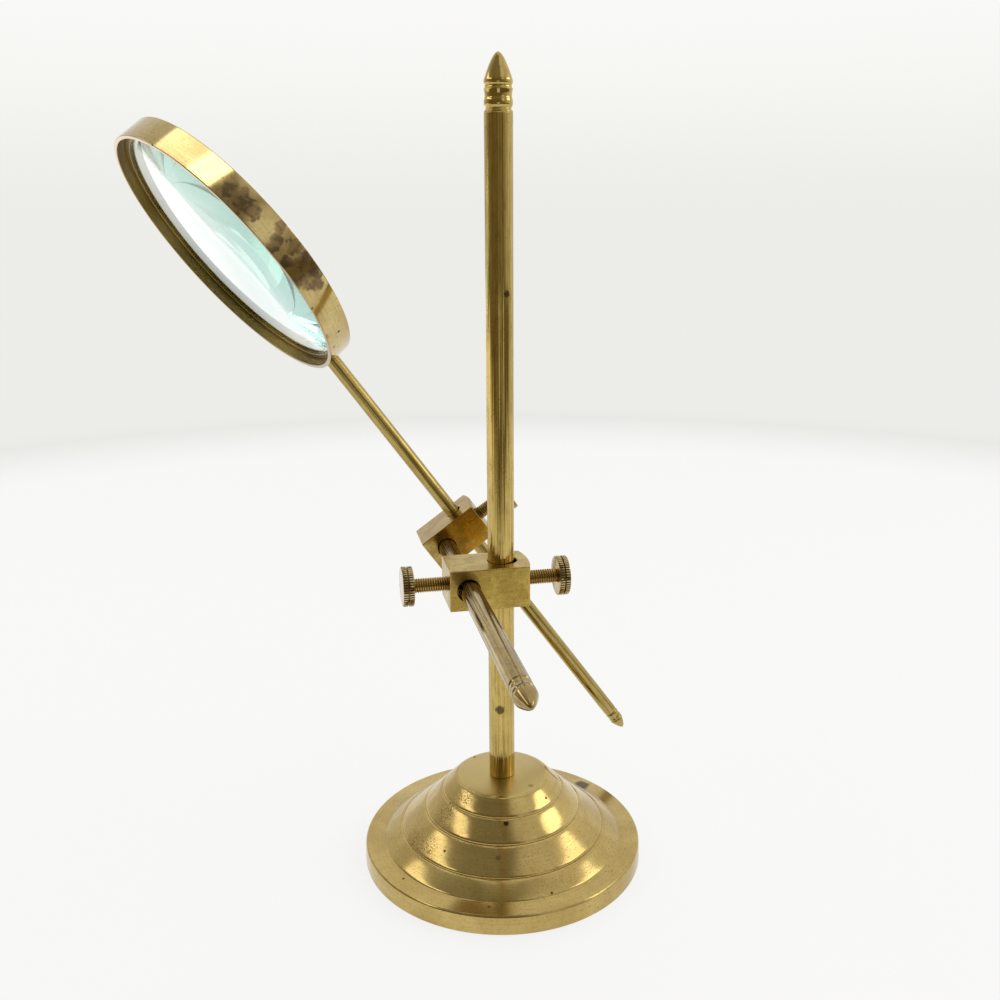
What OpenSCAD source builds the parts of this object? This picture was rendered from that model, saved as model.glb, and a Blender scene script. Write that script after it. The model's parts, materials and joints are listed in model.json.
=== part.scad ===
// Brass magnifying glass on a stand: a weighted base with an upright post,
// a clamp that slides on the post, a cross rod through the clamp, a second
// clamp on the end of the cross rod, and a lens on a rod of its own.
// Millimetres, +Z up, origin on the table under the post.

/* [Pose] */
// Height of the cross rod above the table
clamp_z = 89.85; // [70:0.05:150]
// Turn of the lower clamp about the post
swivel = 16.5; // [-180:0.1:180]
// Distance from the post to the middle of the upper clamp
reach = 41.3; // [24:0.1:90]
// Lean of the lens rod away from upright
tilt = 35.7; // [22:0.1:110]
// Length of lens rod between the upper clamp's middle and the lens rim
rod_out = 69.2; // [20:0.1:130]
// Turn of the lens about its rod
lens_turn = -162.6; // [-180:0.1:180]
// Lean of the lens rim on the end of its rod
rim_lean = 3.9; // [0:0.1:4]

/* [Base] */
// Radius of the base at the table
base_r = 42.85; // [41:0.05:60]
// Height of the base's rim
base_rim_h = 6.1; // [4:0.1:9]
// Width of the rim's rounded top edge
rim_edge_w = 0.65; // [0.3:0.05:1.5]
// Height of the rim's rounded top edge
rim_edge_h = 0.5; // [0.3:0.1:2]
// How much the rim narrows below its top edge
rim_taper = 0.2; // [0:0.05:0.3]
// Chamfer round the foot of the rim
foot_chamfer = 0.4; // [0.1:0.1:1]
// Rise of the ledge between the rim and the stepped cone
ledge_rise = 0.3; // [0:0.1:1]
// Radius of the foot of the stepped cone
cone_r = 37; // [33:0.1:39]
// Radius of the lowest turned groove
groove1_r = 31.4; // [28:0.1:32]
// Height of the lowest turned groove
groove1_z = 10.35; // [9:0.05:12]
// Radius of the middle turned groove
groove2_r = 24.1; // [22:0.1:27]
// Height of the middle turned groove
groove2_z = 16.4; // [15:0.1:18]
// Radius of the upper turned groove
groove3_r = 18.7; // [16:0.1:20]
// Height of the upper turned groove
groove3_z = 22; // [20:0.1:23]
// Radius of the flat top of the base
top_r = 14.1; // [11:0.1:15.5]
// Height of the base
base_h = 26.5; // [25:0.1:34]
// Width of a turned groove
groove_w = 0.6; // [0.3:0.05:1]
// Depth of a turned groove
groove_d = 0.35; // [0.2:0.05:0.6]
// Bulge of the metal between two grooves
band_bulge = 0.05; // [0.05:0.05:0.4]
// Thickness of the felt under the base
felt_t = 1; // [0.6:0.1:2]
// Width of bare metal round the felt
felt_margin = 4.35; // [2:0.05:10]

/* [Post] */
// Diameter of the post
post_d = 7.75; // [7:0.05:8]
// Height of the post's tip above the table
post_top = 234.8; // [200:0.1:300]
// Diameter of the stud under the post
stud_d = 5; // [4:0.1:6]
// Length of the stud below the nut
stud_tail = 0.8; // [0.3:0.1:2]
// Width of the nut across its flats
nut_flats = 8; // [7.5:0.1:10]
// Thickness of the nut
nut_t = 4; // [2.5:0.1:5]
// Outer diameter of the washer
washer_d = 11; // [9:0.1:13]
// Thickness of the washer
washer_t = 1; // [0.6:0.1:1.5]
// Diameter of the pocket for the nut
pocket_d = 15; // [14:0.1:20]
// Height of the pocket's ceiling above the table
pocket_z = 9; // [8.5:0.1:14]

/* [Clamps] */
// Depth of both clamps along the cross rod
clamp_depth = 15.5; // [13:0.1:20]
// Height of both clamps
clamp_h = 12.2; // [10:0.1:15]
// Distance between the post and the cross rod
post_to_rod = 10.6; // [9:0.05:13]
// Distance between the cross rod and the lens rod
rod_to_lens_rod = 8.25; // [7:0.05:12]
// Metal from the cross rod's middle to the plain end of a clamp
plain_end = 5.8; // [5:0.05:9]
// Metal from the post's middle to the end of the lower clamp
post_end = 7; // [5.5:0.05:10]
// Metal from the lens rod's middle to the end of the upper clamp
lens_end = 5.95; // [4.5:0.05:9]
// Height of the rounding on the screw end of a clamp
end_crown = 1.1; // [0.3:0.1:1.5]

/* [Rods] */
// Diameter of the cross rod
cross_d = 5.95; // [4.5:0.05:6.3]
// Length of the cross rod with its finial
cross_l = 132.5; // [110:0.5:160]
// Depth of the cross rod's end below the back of the upper clamp
cross_inset = 0.3; // [0:0.1:2]
// Diameter of the lens rod
lens_rod_d = 4.5; // [3.5:0.05:5]
// Length of the lens rod with its finial
lens_rod_l = 166.3; // [140:0.1:170]
// Diameter of the tenon that enters the lens rim
tenon_d = 2.4; // [1.5:0.1:3]

/* [Thumbscrews] */
// Outer diameter of the screw thread
thread_d = 4.4; // [3.5:0.1:5]
// Pitch of the screw thread
thread_pitch = 0.7; // [0.5:0.05:1]
// Depth of the screw thread
thread_depth = 0.32; // [0.2:0.02:0.4]
// Length of the spigot that holds the knob
spigot_l = 2.2; // [1:0.1:2.8]
// Step from the root of the thread to the spigot
spigot_step = 0.15; // [0.1:0.05:0.5]
// Diameter of a knob
knob_d = 11.7; // [10:0.1:14]
// Thickness of a knob
knob_t = 3.3; // [3:0.1:5]
// Number of ribs round a knob
knob_ribs = 48; // [30:1:60]
// Depth of the ribs
rib_depth = 0.4; // [0.2:0.05:0.5]
// Width of the groove between the two ribbed bands
knob_groove_w = 0.4; // [0.3:0.05:0.8]
// Depth of the groove between the two ribbed bands
knob_groove_d = 0.6; // [0.4:0.05:0.9]
// Room between the lower clamp and the post screw's knob
post_knob_gap = 9.6; // [3:0.1:14]
// Room between the lower clamp and the cross rod screw's knob
rod_knob_gap = 9.7; // [3:0.1:14]
// Room between the upper clamp and the lens rod screw's knob
lens_knob_gap = 8.9; // [3:0.1:14]

/* [Lens] */
// Outer diameter of the lens rim
rim_d = 85.4; // [75:0.1:95]
// Depth of the lens rim
rim_depth = 8.4; // [7.8:0.1:11]
// Thickness of the rim's wall
rim_wall = 1.2; // [1.1:0.05:2]
// Width of the ledges that hold the glass
ledge = 1.9; // [1.5:0.1:3]
// Depth of the retaining ring below the rim's front edge
ring_inset = 3; // [1.5:0.1:3.4]
// Thickness of the retaining ring
ring_t = 1.2; // [0.8:0.1:1.6]
// Thickness of the glass at its edge
glass_edge = 2.4; // [1.6:0.1:2.6]
// Rise of each face of the glass
glass_rise = 3.2; // [1.5:0.1:4]

/* [Fits] */
// Gap all round a turning fit
run_gap = 0.05; // [0.02:0.01:0.08]
// Gap where a rod is pressed against the wall of its hole
seat_gap = 0.08; // [0.05:0.01:0.1]
// Extra radius of the post's hole
post_slack = 0.45; // [0.15:0.01:0.6]
// Extra radius of the cross rod's hole
cross_slack = 0.35; // [0.2:0.01:0.8]
// Extra radius of the lens rod's hole
lens_slack = 0.3; // [0.15:0.01:0.5]
// Room round the glass and the felt
loose_gap = 0.2; // [0.1:0.05:0.4]
// Room between the lens rod's shoulder and the rim
shoulder_gap = 0.25; // [0.25:0.01:0.4]

/* [Hidden] */
$fn = 96;
eps = 0.01;
// How far a cut runs past the metal
past = 1;

brass = [0.72, 0.58, 0.29];
worn_brass = [0.64, 0.50, 0.30];
dark_brass = [0.47, 0.37, 0.18];
steel = [0.62, 0.61, 0.58];
felt_green = [0.16, 0.26, 0.18];
clear_glass = [0.80, 0.93, 0.90, 0.35];

// Finial on the end of every rod, in shares of the rod's radius: a pointed tip,
// then beads and grooves, each a distance from the tip and a radius
tip_share = 1.84;
tip_power = 0.6;
tip_steps = 12;
finial_rings = [[2.16, 0.92], [2.38, 1], [2.92, 0.94], [3.26, 1], [3.6, 0.885], [3.8, 1]];

// Where a turn of the thread rises, crests, falls and ends, in shares of the pitch
thread_form = [0.1, 0.45, 0.6, 0.95];

// One rib of a knob: shares of the way to the next rib, each with a share of the depth
rib_form = [[0, 0], [0.5, 0], [0.75, 1]];

post_r = post_d / 2;
cross_r = cross_d / 2;
lens_rod_r = lens_rod_d / 2;
stud_r = stud_d / 2;
thread_r = thread_d / 2;
knob_r = knob_d / 2;
rim_r = rim_d / 2;

rim_bore_r = rim_r - rim_wall;
ledge_r = rim_bore_r - ledge;
glass_front = rim_depth / 2 - ring_inset - ring_t;
glass_back = glass_front - glass_edge;
glass_r = rim_bore_r - loose_gap;
face_r = ledge_r - loose_gap / 2;
face_sphere_r = (face_r * face_r + glass_rise * glass_rise) / (2 * glass_rise);

root_r = thread_r - thread_depth;
spigot_r = root_r - spigot_step;
felt_r = base_r - felt_margin;

// Points on a rod's outline from its tip back to the full shaft
function finial_points(r) = concat(
    [for (i = [0:tip_steps]) let (s = i / tip_steps) [r * pow(s, tip_power), -s * tip_share * r]],
    [for (p = finial_rings) [p[1] * r, -p[0] * r]]);

// Round rod with its tip at z = 0, reaching down by length
module finial_rod(r, length) {
    rotate_extrude()
        polygon(concat([[0, -length]], finial_points(r), [[r, -length]]));
}

// Outline between two grooves, bulged outwards
function band(a, b) = let (
        run = b - a,
        size = norm(run),
        side = [-run[1], run[0]] / size,
        steps = 4)
    [for (i = [0:steps]) let (s = i / steps)
        a + run * s - side * 4 * band_bulge * s * (1 - s)];

// V groove at a point, for a slope that falls outwards
function groove_out(p, q) = p + (q - p) * groove_w / (2 * norm(q - p));
function groove_root(p) = p + [-1, -1] * groove_d / sqrt(2);

module base() {
    foot = [cone_r, base_rim_h + ledge_rise];
    g1 = [groove1_r, groove1_z];
    g2 = [groove2_r, groove2_z];
    g3 = [groove3_r, groove3_z];
    top = [top_r, base_h];
    color(brass) difference() {
        rotate_extrude() polygon(concat(
            [[0, 0], [base_r - foot_chamfer, 0], [base_r, foot_chamfer]],
            [[base_r - rim_taper, base_rim_h - rim_edge_h], [base_r - rim_edge_w, base_rim_h], foot],
            band(groove_out(foot, g1), groove_out(g1, foot)), [groove_root(g1)],
            band(groove_out(g1, g2), groove_out(g2, g1)), [groove_root(g2)],
            band(groove_out(g2, g3), groove_out(g3, g2)), [groove_root(g3)],
            band(groove_out(g3, top), groove_out(top, g3)), [groove_root(top)],
            [[top_r - groove_w, base_h], [0, base_h]]));
        translate([0, 0, -eps]) cylinder(r = felt_r + loose_gap, h = felt_t + eps);
        cylinder(d = pocket_d, h = pocket_z);
        cylinder(r = stud_r + run_gap, h = base_h + past);
    }
}

module base_felt() {
    color(felt_green) cylinder(r = felt_r, h = felt_t);
}

module post() {
    shoulder = base_h + run_gap;
    stud_low = pocket_z - run_gap - washer_t - nut_t - stud_tail;
    color(brass) {
        translate([0, 0, post_top]) finial_rod(post_r, post_top - shoulder);
        translate([0, 0, stud_low]) cylinder(r = stud_r, h = shoulder - stud_low + eps);
    }
}

module post_washer() {
    color(brass) translate([0, 0, pocket_z - run_gap - washer_t]) difference() {
        cylinder(d = washer_d, h = washer_t);
        translate([0, 0, -past]) cylinder(r = stud_r + run_gap, h = washer_t + 2 * past);
    }
}

module post_nut() {
    color(steel) translate([0, 0, pocket_z - run_gap - washer_t - nut_t]) difference() {
        cylinder(d = nut_flats / cos(30), h = nut_t, $fn = 6);
        translate([0, 0, -past]) cylinder(r = stud_r + run_gap, h = nut_t + 2 * past);
    }
}

// Lower clamp's frame: post along Z, cross rod along Y, screws along X
module at_clamp() {
    translate([0, 0, clamp_z]) rotate([0, 0, swivel]) children();
}

// Cross rod's frame: the rod lies along Y and its finial points to -Y
module at_cross_rod() {
    at_clamp() translate([-post_to_rod, 0, 0]) children();
}

// Upper clamp's frame: cross rod along Y, lens rod parallel to Z
module at_head() {
    at_cross_rod() translate([0, reach, 0]) rotate([0, -tilt, 0]) children();
}

// Lens rod's frame: the rod lies along Z
module at_lens_rod() {
    at_head() translate([rod_to_lens_rod, 0, 0]) children();
}

// Lens frame: X is the optical axis and points out of the front
module at_lens() {
    at_lens_rod() translate([0, 0, rod_out]) rotate([0, 0, lens_turn])
        rotate([0, rim_lean, 0]) translate([0, 0, rim_r]) children();
}

// Bar with one rounded end, from x0 to x1, the rounding added beyond x1
module clamp_bar(x0, x1) {
    crown_r = (pow(clamp_depth / 2, 2) + end_crown * end_crown) / (2 * end_crown);
    translate([x0, -clamp_depth / 2, -clamp_h / 2]) cube([x1 - x0, clamp_depth, clamp_h]);
    intersection() {
        translate([x1 - eps, -clamp_depth / 2, -clamp_h / 2])
            cube([end_crown + past, clamp_depth, clamp_h]);
        translate([x1 + end_crown - crown_r, 0, -clamp_h / 2])
            cylinder(r = crown_r, h = clamp_h, $fn = 192);
    }
}

// Round cut along Z, longer than a clamp is in any direction
module bar_hole(r) {
    cylinder(r = r, h = clamp_depth + clamp_h, center = true);
}

module post_clamp() {
    hole_x = post_slack - seat_gap;
    rod_x = -post_to_rod - cross_slack + seat_gap;
    color(brass) at_clamp() difference() {
        clamp_bar(-post_to_rod - plain_end, post_end);
        translate([hole_x, 0, 0]) bar_hole(post_r + post_slack);
        translate([rod_x, 0, 0]) rotate([90, 0, 0]) bar_hole(cross_r + cross_slack);
        rotate([0, 90, 0]) cylinder(r = thread_r + run_gap, h = post_end + end_crown + past);
        translate([-post_to_rod, 0, 0]) rotate([0, -90, 0])
            cylinder(r = thread_r + run_gap, h = plain_end + past);
    }
}

module head_clamp() {
    hole_x = rod_to_lens_rod + lens_slack - seat_gap;
    color(brass) at_head() difference() {
        clamp_bar(-plain_end, rod_to_lens_rod + lens_end);
        rotate([90, 0, 0]) bar_hole(cross_r + run_gap);
        translate([hole_x, 0, 0]) bar_hole(lens_rod_r + lens_slack);
        translate([rod_to_lens_rod, 0, 0]) rotate([0, 90, 0])
            cylinder(r = thread_r + run_gap, h = lens_end + end_crown + past);
    }
}

module cross_rod() {
    back = reach + clamp_depth / 2 - cross_inset;
    color(worn_brass) at_cross_rod() translate([0, back - cross_l, 0]) rotate([90, 0, 0])
        finial_rod(cross_r, cross_l);
}

module lens_rod() {
    shoulder = rod_out - shoulder_gap;
    color(brass) at_lens_rod() {
        translate([0, 0, shoulder - lens_rod_l]) rotate([180, 0, 0])
            finial_rod(lens_rod_r, lens_rod_l);
        translate([0, 0, shoulder - eps])
            cylinder(r = tenon_d / 2, h = rim_wall + shoulder_gap - run_gap + eps);
    }
}

// Threaded stud along Z: its tip is at z = 0 and its knob seats at z = seat
module screw_stud(seat) {
    turns = floor(seat / thread_pitch) - 1;
    form_r = [root_r, thread_r, thread_r, root_r];
    rotate_extrude() polygon(concat(
        [[0, 0], [root_r, 0]],
        [for (i = [0:turns - 1]) for (k = [0:3]) [form_r[k], (i + thread_form[k]) * thread_pitch]],
        [[root_r, seat], [spigot_r, seat], [spigot_r, seat + spigot_l], [0, seat + spigot_l]]));
}

// One ribbed band of a knob, standing on z = 0
module ribbed_band(t) {
    linear_extrude(t) polygon([for (i = [0:knob_ribs - 1]) for (p = rib_form)
        let (a = (i + p[0]) * 360 / knob_ribs, r = knob_r - p[1] * rib_depth)
        [r * cos(a), r * sin(a)]]);
}

// Knob along Z with its inner face at z = 0
module screw_knob() {
    band_t = (knob_t - knob_groove_w) / 2;
    difference() {
        union() {
            ribbed_band(band_t);
            translate([0, 0, band_t - eps])
                cylinder(r = knob_r - knob_groove_d, h = knob_groove_w + 2 * eps);
            translate([0, 0, knob_t - band_t]) ribbed_band(band_t);
        }
        translate([0, 0, -past]) cylinder(r = spigot_r + run_gap, h = spigot_l + run_gap + past);
    }
}

// Frames of the three screws: Z points away from the clamp, z = 0 is the tip
module at_post_screw() {
    at_clamp() translate([post_r + run_gap, 0, 0]) rotate([0, 90, 0]) children();
}

module at_rod_screw() {
    at_cross_rod() translate([-cross_r - run_gap, 0, 0]) rotate([0, -90, 0]) children();
}

module at_head_screw() {
    at_lens_rod() translate([lens_rod_r + run_gap, 0, 0]) rotate([0, 90, 0]) children();
}

post_seat = post_end + post_knob_gap - post_r - run_gap;
rod_seat = plain_end + rod_knob_gap - cross_r - run_gap;
lens_seat = lens_end + lens_knob_gap - lens_rod_r - run_gap;

module post_screw_stud() {
    color(worn_brass) at_post_screw() screw_stud(post_seat);
}

module post_screw_knob() {
    color(brass) at_post_screw() translate([0, 0, post_seat + run_gap]) screw_knob();
}

module rod_screw_stud() {
    color(worn_brass) at_rod_screw() screw_stud(rod_seat);
}

module rod_screw_knob() {
    color(brass) at_rod_screw() translate([0, 0, rod_seat + run_gap]) screw_knob();
}

module head_screw_stud() {
    color(worn_brass) at_head_screw() screw_stud(lens_seat);
}

module head_screw_knob() {
    color(brass) at_head_screw() translate([0, 0, lens_seat + run_gap]) screw_knob();
}

// Flat ring round the optical axis, from back to front
module lens_ring(outer, inner, back, front) {
    rotate([0, 90, 0]) rotate_extrude($fn = 192)
        polygon([[inner, back], [outer, back], [outer, front], [inner, front]]);
}

module lens_rim() {
    half = rim_depth / 2;
    color(brass) difference() {
        at_lens() rotate([0, 90, 0]) rotate_extrude($fn = 192) polygon([
            [ledge_r, -half], [rim_r, -half], [rim_r, half], [rim_bore_r, half],
            [rim_bore_r, glass_back], [ledge_r, glass_back]]);
        at_lens_rod() translate([0, 0, rod_out - past])
            cylinder(r = tenon_d / 2 + run_gap, h = rim_wall + 2 * past);
    }
}

module retaining_ring() {
    color(dark_brass) at_lens()
        lens_ring(rim_bore_r - run_gap, ledge_r, glass_front, glass_front + ring_t);
}

module lens() {
    color(clear_glass) at_lens() rotate([0, 90, 0]) {
        translate([0, 0, glass_back]) cylinder(r = glass_r, h = glass_edge, $fn = 192);
        intersection() {
            translate([0, 0, glass_back - glass_rise - past])
                cylinder(r = face_r, h = glass_edge + 2 * glass_rise + 2 * past, $fn = 192);
            translate([0, 0, glass_front + glass_rise - face_sphere_r])
                sphere(r = face_sphere_r, $fn = 192);
            translate([0, 0, glass_back - glass_rise + face_sphere_r])
                sphere(r = face_sphere_r, $fn = 192);
        }
    }
}

base();
base_felt();
post();
post_washer();
post_nut();
post_clamp();
post_screw_stud();
post_screw_knob();
rod_screw_stud();
rod_screw_knob();
cross_rod();
head_clamp();
head_screw_stud();
head_screw_knob();
lens_rod();
lens_rim();
retaining_ring();
lens();
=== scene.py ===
# Brass magnifying glass on a stand: the looks of every piece.
# Settings are in millimetres and degrees, and meshes are in metres.
import json
import math

import bmesh
import bpy
import numpy as np
from mathutils import Matrix, Vector


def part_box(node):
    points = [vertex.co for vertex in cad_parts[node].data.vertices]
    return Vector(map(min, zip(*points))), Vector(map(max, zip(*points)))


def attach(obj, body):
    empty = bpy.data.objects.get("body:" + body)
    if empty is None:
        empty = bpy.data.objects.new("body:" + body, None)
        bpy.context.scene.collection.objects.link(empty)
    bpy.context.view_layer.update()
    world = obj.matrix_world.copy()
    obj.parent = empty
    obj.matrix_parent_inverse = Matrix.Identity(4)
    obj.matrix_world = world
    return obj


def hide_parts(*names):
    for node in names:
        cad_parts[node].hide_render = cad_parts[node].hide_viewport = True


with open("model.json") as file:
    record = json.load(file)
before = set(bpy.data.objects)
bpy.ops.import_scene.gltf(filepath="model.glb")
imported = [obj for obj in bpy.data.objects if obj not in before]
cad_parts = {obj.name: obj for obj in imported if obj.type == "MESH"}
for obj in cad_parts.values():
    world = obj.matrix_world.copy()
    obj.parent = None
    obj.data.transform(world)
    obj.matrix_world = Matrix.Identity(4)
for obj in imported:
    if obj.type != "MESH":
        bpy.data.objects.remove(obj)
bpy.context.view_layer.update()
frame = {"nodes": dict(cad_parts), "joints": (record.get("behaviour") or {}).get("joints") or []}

mm = 0.001
joints = {joint["name"]: joint for joint in frame["joints"]}
up = Vector((0, 0, 1))


# Places and sizes from the frame
def spot(joint):
    return Vector(joints[joint]["pos_m"])


def along(joint):
    return Vector(joints[joint]["axis"]).normalized()


def between(first, second):
    # distance between two joints in mm
    return (spot(first) - spot(second)).length / mm


def axes(origin, z, x):
    # a place whose Z and X run as given
    z = z.normalized()
    x = (x - z * x.dot(z)).normalized()
    place = Matrix((x, z.cross(x), z)).transposed().to_4x4()
    place.translation = origin
    return place


def moved(place, x=0, z=0):
    return place @ Matrix.Translation(Vector((x, 0, z)) * mm)


def corners(node, place):
    # lowest and highest corner of a node in mm, measured along a place's own axes
    points = np.array([place.inverted() @ v.co for v in frame["nodes"][node].data.vertices]) / mm
    return Vector(points.min(0)), Vector(points.max(0))


def lensAxes():
    # Z is the optical axis and points out of the front, X points to the lens rod
    rimLow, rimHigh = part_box("lens_rim")
    ringLow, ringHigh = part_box("retaining_ring")
    centre = (rimLow + rimHigh) / 2
    glass = np.array([v.co for v in frame["nodes"]["lens"].data.vertices])
    thin = Vector(np.linalg.eigh(np.cov(glass.T))[1][:, 0])
    front = (ringLow + ringHigh) / 2 - centre
    if thin.dot(front) < 0:
        thin = -thin
    return axes(centre, thin, spot("lens_turn") - centre)


clampPlace = axes(spot("post_screw_turn"), up, along("post_screw_turn"))
crossPlace = axes(spot("rod_screw_turn"), along("cross_rod_slide"), up)
headPlace = axes(spot("lens_arm_tilt"), along("lens_turn"), along("head_screw_turn"))
headCrossPlace = axes(spot("lens_arm_tilt"), along("lens_arm_tilt"), along("head_screw_turn"))
rodPlace = axes(spot("head_screw_turn"), along("lens_turn"), along("head_screw_turn"))
lensPlace = lensAxes()
standPlace = Matrix.Identity(4)


def added(name, data, place):
    # an object of the scene, at its place
    thing = bpy.data.objects.new(name, data)
    bpy.context.scene.collection.objects.link(thing)
    thing.matrix_world = place
    return thing


# Camera, solved from the photograph
cameraLook = {
    "place": (25.009, -297.078, 195.676),
    "down": 15.294,       # pitch below the horizon
    "left": 4.841,        # turn towards -X
    "roll": -0.327,
    "focal": 1069.95,     # in pixels of the picture
    "picture": 1000,      # its width in pixels
    "sensor": 36,
    "clip": (0.01, 20),   # in metres
}


def makeCamera(look):
    down, left = math.radians(look["down"]), math.radians(look["left"])
    level = math.cos(down)
    forward = Vector((-math.sin(left) * level, math.cos(left) * level, -math.sin(down)))
    place = axes(Vector(look["place"]) * mm, -forward, forward.cross(up))
    place = place @ Matrix.Rotation(math.radians(look["roll"]), 4, "Z")
    data = bpy.data.cameras.new("camera")
    data.sensor_width = look["sensor"]
    data.lens = look["focal"] / look["picture"] * look["sensor"]
    data.clip_start, data.clip_end = look["clip"]
    bpy.context.scene.camera = added("camera", data, place)
    return bpy.context.scene.camera


camera = makeCamera(cameraLook)
bpy.context.view_layer.update()


def seen(piece, across, down):
    # where a pixel of the picture lands on a piece, in the piece's own mm
    half = cameraLook["picture"] / 2
    ray = Vector((across - half, half - down, -cameraLook["focal"]))
    back = piece.matrix_world.inverted() @ camera.matrix_world
    hit, point = piece.ray_cast(back.translation, (back.to_3x3() @ ray).normalized())[:2]
    if not hit:
        print("no mark at", across, down, "on", piece.name)
    return point / mm


def placed(piece, spots):
    # spots of the picture on a piece, each with its size and strength
    return [(seen(piece, across, down), *rest) for across, down, *rest in spots]


# Meshes
def soften(mesh, sharp=40):
    for face in mesh.polygons:
        face.use_smooth = True
    mesh.set_sharp_from_angle(angle=math.radians(sharp))


def pieceFrom(name, points, faces, place, sharp=40):
    mesh = bpy.data.meshes.new(name)
    mesh.from_pydata([Vector(p) * mm for p in points], [], faces)
    shape = bmesh.new()
    shape.from_mesh(mesh)
    bmesh.ops.remove_doubles(shape, verts=shape.verts, dist=1e-7)
    bmesh.ops.recalc_face_normals(shape, faces=shape.faces)
    shape.to_mesh(mesh)
    shape.free()
    soften(mesh, sharp)
    return added(name, mesh, place)


def lathe(name, outline, place, sides, closed=False, edge=None):
    # the outline is radii and heights, and edge gives the outermost radius at a share of a turn
    middle = 0.001      # a radius below this is a single point
    points, faces, rows = [], [], []
    for r, z in outline:
        count = sides if r > middle else 1
        rows.append(range(len(points), len(points) + count))
        for k in range(count):
            angle = 2 * math.pi * k / sides
            out = min(r, edge(k / sides)) if edge else r
            points.append((out * math.cos(angle), out * math.sin(angle), z))
    pairs = list(zip(rows, rows[1:]))
    if closed:
        pairs.append((rows[-1], rows[0]))
    for low, high in pairs:
        for k in range(sides):
            ring = [row[j % len(row)] for row, j in ((low, k), (low, k + 1), (high, k + 1), (high, k))]
            face = list(dict.fromkeys(ring))
            if len(face) > 2:
                faces.append(face)
    return pieceFrom(name, points, faces, place)


def rounded(points, steps=4):
    # a corner with a third number is rounded off over that radius
    line = []
    for k, point in enumerate(points):
        if len(point) == 2:
            line.append(point)
            continue
        before, here, after = (Vector(points[j % len(points)][:2]) for j in (k - 1, k, k + 1))
        cut = point[2] / math.tan((before - here).angle(after - here) / 2)
        start = here + (before - here).normalized() * cut
        end = here + (after - here).normalized() * cut
        for i in range(steps + 1):
            t = i / steps
            line.append(tuple(start * (1 - t) ** 2 + here * 2 * t * (1 - t) + end * t * t))
    return line


def curved(points, steps=4):
    # a smooth line through all the points
    ends = [Vector(p) for p in [points[0], *points, points[-1]]]
    line = []
    for a, b, c, d in zip(ends, ends[1:], ends[2:], ends[3:]):
        for i in range(steps):
            t = i / steps
            line.append(tuple(b + (c - a) * t / 2 + (2 * a - 5 * b + 4 * c - d) * t * t / 2
                              + (3 * b - a - 3 * c + d) * t ** 3 / 2))
    return line + [points[-1]]


def cutAway(piece, cutter):
    # takes the cutter's shape out of the piece
    cut = piece.modifiers.new("cut", "BOOLEAN")
    cut.operation = "DIFFERENCE"
    cut.solver = "EXACT"
    cut.object = cutter
    bpy.context.view_layer.update()
    mesh = bpy.data.meshes.new_from_object(piece.evaluated_get(bpy.context.evaluated_depsgraph_get()))
    piece.modifiers.clear()
    piece.data = mesh
    bpy.data.objects.remove(cutter)


def drill(piece, place, radius, low, high, mouths=(0, 0)):
    # a round hole about Z, with a small chamfer at an end that opens on a face
    sides = 96
    past = 1            # how far the cutter stands out
    wide = [radius + mouth + past if mouth else radius for mouth in mouths]
    outline = [(0, low - past), (wide[0], low - past), (radius, low + mouths[0])]
    outline += [(radius, high - mouths[1]), (wide[1], high + past), (0, high + past)]
    cutAway(piece, lathe("cutter", outline, place, sides))


def flatten(piece):
    # large faces stay flat beside their small bevels
    soften(piece.data)
    weigh = piece.modifiers.new("flat", "WEIGHTED_NORMAL")
    weigh.keep_sharp = True
    weigh.weight = 90         # how much the size of a face counts


# Shader nodes
class Wire:
    # a shader socket that sums and products are written with
    def __init__(self, finish, socket):
        self.finish = finish
        self.socket = socket

    def maths(self, operation, first, second):
        return self.finish.node("ShaderNodeMath", {"operation": operation}, [first, second])

    def __add__(self, other):
        return self.maths("ADD", self, other)

    __radd__ = __add__

    def __sub__(self, other):
        return self.maths("SUBTRACT", self, other)

    def __rsub__(self, other):
        return self.maths("SUBTRACT", other, self)

    def __mul__(self, other):
        return self.maths("MULTIPLY", self, other)

    __rmul__ = __mul__


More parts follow.
